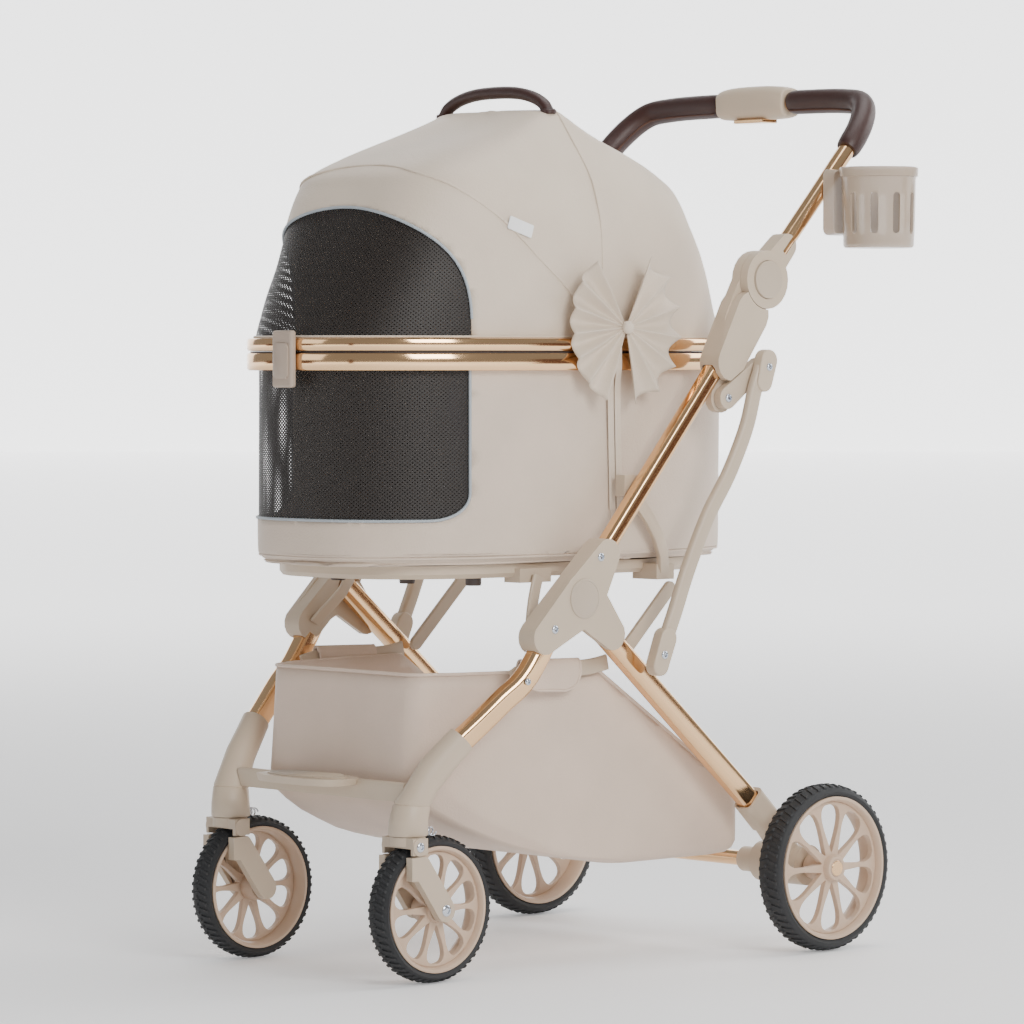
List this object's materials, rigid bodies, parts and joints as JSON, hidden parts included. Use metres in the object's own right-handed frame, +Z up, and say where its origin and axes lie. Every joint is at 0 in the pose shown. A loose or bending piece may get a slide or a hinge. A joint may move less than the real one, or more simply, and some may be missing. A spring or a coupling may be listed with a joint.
{
  "type": "pet stroller",
  "caption": "Folding four-wheel pet stroller with a detachable fabric cabin, opening canopy, under-basket, swivel front casters and a folding push handle.",
  "frame": {"origin": "middle of the floor under the stroller's bounding box", "axes": "+Z up, the stroller faces -Y, its left side (with the cup holder and the bow) is +X"},
  "size_m": [0.595, 0.7814, 1.0202],
  "materials": {
    "beige_plastic": "satin moulded nylon",
    "painted_bar": "satin powder coat",
    "champagne_tube": "polished champagne anodising",
    "basket_fabric": "grained coated fabric",
    "cabin_fabric": "fine-grained synthetic leather",
    "canopy_fabric": "fine-grained synthetic leather",
    "cushion_fabric": "brushed fabric",
    "brown_leather": "stitched synthetic leather",
    "rim_plastic": "satin moulded nylon",
    "tyre_rubber": "matte foam rubber",
    "clear_plastic": "translucent beige",
    "latch_plastic": "satin"
  },
  "bodies": {
    "frame": {"main_hub_left": "beige_plastic", "main_hub_right": "beige_plastic", "upper_tube_left": "champagne_tube", "upper_tube_right": "champagne_tube", "front_leg_left": "champagne_tube", "front_leg_right": "champagne_tube", "front_socket_left": "beige_plastic", "front_socket_right": "beige_plastic", "footrest": "beige_plastic", "handle_bracket_left": "beige_plastic", "handle_bracket_right": "beige_plastic", "cabin_platform": "beige_plastic", "platform_front_link_left": "painted_bar", "platform_front_link_right": "painted_bar", "basket_rail_left": "painted_bar", "basket_rail_right": "painted_bar", "basket": "basket_fabric"},
    "rear_frame": {"rear_leg_left": "champagne_tube", "rear_leg_right": "champagne_tube", "rear_socket_left": "beige_plastic", "rear_socket_right": "beige_plastic", "rear_axle": "champagne_tube"},
    "brake": {"brake_pedal": "beige_plastic"},
    "lever_left": {"toggle_lever_left": "beige_plastic"},
    "brace_left": {"brace_left": "painted_bar"},
    "rear_link_left": {"platform_rear_link_left": "painted_bar"},
    "rear_wheel_left": {"rear_rim_left": "rim_plastic", "rear_tyre_left": "tyre_rubber"},
    "caster_left": {"caster_housing_left": "beige_plastic", "caster_fork_left": "beige_plastic"},
    "front_wheel_left": {"front_rim_left": "rim_plastic", "front_tyre_left": "tyre_rubber"},
    "lever_right": {"toggle_lever_right": "beige_plastic"},
    "brace_right": {"brace_right": "painted_bar"},
    "rear_link_right": {"platform_rear_link_right": "painted_bar"},
    "rear_wheel_right": {"rear_rim_right": "rim_plastic", "rear_tyre_right": "tyre_rubber"},
    "caster_right": {"caster_housing_right": "beige_plastic", "caster_fork_right": "beige_plastic"},
    "front_wheel_right": {"front_rim_right": "rim_plastic", "front_tyre_right": "tyre_rubber"},
    "handle": {"handle_tube": "champagne_tube", "handle_wrap_left": "brown_leather", "handle_wrap_right": "brown_leather", "centre_grip": "beige_plastic", "handle_pivot_left": "beige_plastic", "handle_pivot_right": "beige_plastic"},
    "trigger": {"release_trigger": "champagne_tube"},
    "button_left": {"handle_button_left": "beige_plastic"},
    "button_right": {"handle_button_right": "beige_plastic"},
    "cup": {"cup_holder": "clear_plastic"},
    "cabin": {"cabin_tub": "cabin_fabric", "lower_ring": "champagne_tube", "cushion": "cushion_fabric"},
    "latch": {"front_latch": "latch_plastic"},
    "canopy": {"upper_ring": "champagne_tube", "canopy_shell": "canopy_fabric", "carry_handle": "brown_leather", "bow": "canopy_fabric"}
  },
  "joints": [
    {"name": "frame_fold", "type": "hinge", "parent": "frame", "child": "rear_frame", "pos_m": [-0.0255, -0.12775, 0.423], "axis": [-1, 0, 0], "range_deg": [0, 55]},
    {"name": "brake_press", "type": "hinge", "parent": "rear_frame", "child": "brake", "pos_m": [0.1075, 0.22625, 0.098], "axis": [-1, 0, 0], "range_deg": [0, 16]},
    {"name": "lever_left", "type": "hinge", "parent": "frame", "child": "lever_left", "pos_m": [0.1895, 0.09625, 0.647], "axis": [1, 0, 0], "range_deg": [-115, 0]},
    {"name": "brace_left", "type": "hinge", "parent": "lever_left", "child": "brace_left", "pos_m": [0.2015, 0.14885, 0.6827], "axis": [1, 0, 0], "range_deg": [0, 104]},
    {"name": "rear_link_left", "type": "hinge", "parent": "frame", "child": "rear_link_left", "pos_m": [0.1505, 0.04425, 0.428], "axis": [-1, 0, 0], "range_deg": [0, 12]},
    {"name": "rear_wheel_left", "type": "hinge", "parent": "rear_frame", "child": "rear_wheel_left", "pos_m": [0.2245, 0.22625, 0.098], "axis": [1, 0, 0], "continuous": true},
    {"name": "caster_swivel_left", "type": "hinge", "parent": "frame", "child": "caster_left", "pos_m": [0.1285, -0.33835, 0.16], "axis": [0, 0, 1], "continuous": true},
    {"name": "front_wheel_left", "type": "hinge", "parent": "caster_left", "child": "front_wheel_left", "pos_m": [0.1285, -0.30635, 0.0826], "axis": [1, 0, 0], "continuous": true},
    {"name": "lever_right", "type": "hinge", "parent": "frame", "child": "lever_right", "pos_m": [-0.2405, 0.09625, 0.647], "axis": [1, 0, 0], "range_deg": [-115, 0]},
    {"name": "brace_right", "type": "hinge", "parent": "lever_right", "child": "brace_right", "pos_m": [-0.2525, 0.14885, 0.6827], "axis": [1, 0, 0], "range_deg": [0, 104]},
    {"name": "rear_link_right", "type": "hinge", "parent": "frame", "child": "rear_link_right", "pos_m": [-0.2015, 0.04425, 0.428], "axis": [-1, 0, 0], "range_deg": [0, 12]},
    {"name": "rear_wheel_right", "type": "hinge", "parent": "rear_frame", "child": "rear_wheel_right", "pos_m": [-0.2755, 0.22625, 0.098], "axis": [1, 0, 0], "continuous": true},
    {"name": "caster_swivel_right", "type": "hinge", "parent": "frame", "child": "caster_right", "pos_m": [-0.1795, -0.33835, 0.16], "axis": [0, 0, 1], "continuous": true},
    {"name": "front_wheel_right", "type": "hinge", "parent": "caster_right", "child": "front_wheel_right", "pos_m": [-0.1795, -0.30635, 0.0826], "axis": [1, 0, 0], "continuous": true},
    {"name": "handle_fold", "type": "hinge", "parent": "frame", "child": "handle", "pos_m": [-0.0255, 0.16025, 0.784], "axis": [-1, 0, 0], "range_deg": [0, 90]},
    {"name": "trigger_pull", "type": "slide", "parent": "handle", "child": "trigger", "axis": [0, 0, 1], "range_m": [0, 0.002], "stiffness_N_per_m": 400, "springref_m": -0.001},
    {"name": "button_left", "type": "slide", "parent": "handle", "child": "button_left", "axis": [-1, 0, 0], "range_m": [0, 0.002], "stiffness_N_per_m": 400, "springref_m": -0.001},
    {"name": "button_right", "type": "slide", "parent": "handle", "child": "button_right", "axis": [1, 0, 0], "range_m": [0, 0.002], "stiffness_N_per_m": 400, "springref_m": -0.001},
    {"name": "cup_pull", "type": "slide", "parent": "handle", "child": "cup", "axis": [1, 0, 0], "range_m": [0, 0.05]},
    {"name": "cabin_lift", "type": "slide", "parent": "frame", "child": "cabin", "axis": [0, 0, 1], "range_m": [0, 0.15]},
    {"name": "latch_flip", "type": "hinge", "parent": "cabin", "child": "latch", "pos_m": [-0.0255, -0.38645, 0.664], "axis": [1, 0, 0], "range_deg": [0, 80]},
    {"name": "canopy_open", "type": "hinge", "parent": "cabin", "child": "canopy", "pos_m": [-0.0255, 0.24125, 0.7], "axis": [-1, 0, 0], "range_deg": [0, 50]}
  ],
  "couplings": [
    {"joint": "lever_left", "follows": "frame_fold", "ratio": -2.0736},
    {"joint": "brace_left", "follows": "frame_fold", "ratio": 1.8726},
    {"joint": "rear_link_left", "follows": "frame_fold", "ratio": 0.17},
    {"joint": "lever_right", "follows": "frame_fold", "ratio": -2.0736},
    {"joint": "brace_right", "follows": "frame_fold", "ratio": 1.8726},
    {"joint": "rear_link_right", "follows": "frame_fold", "ratio": 0.17}
  ]
}
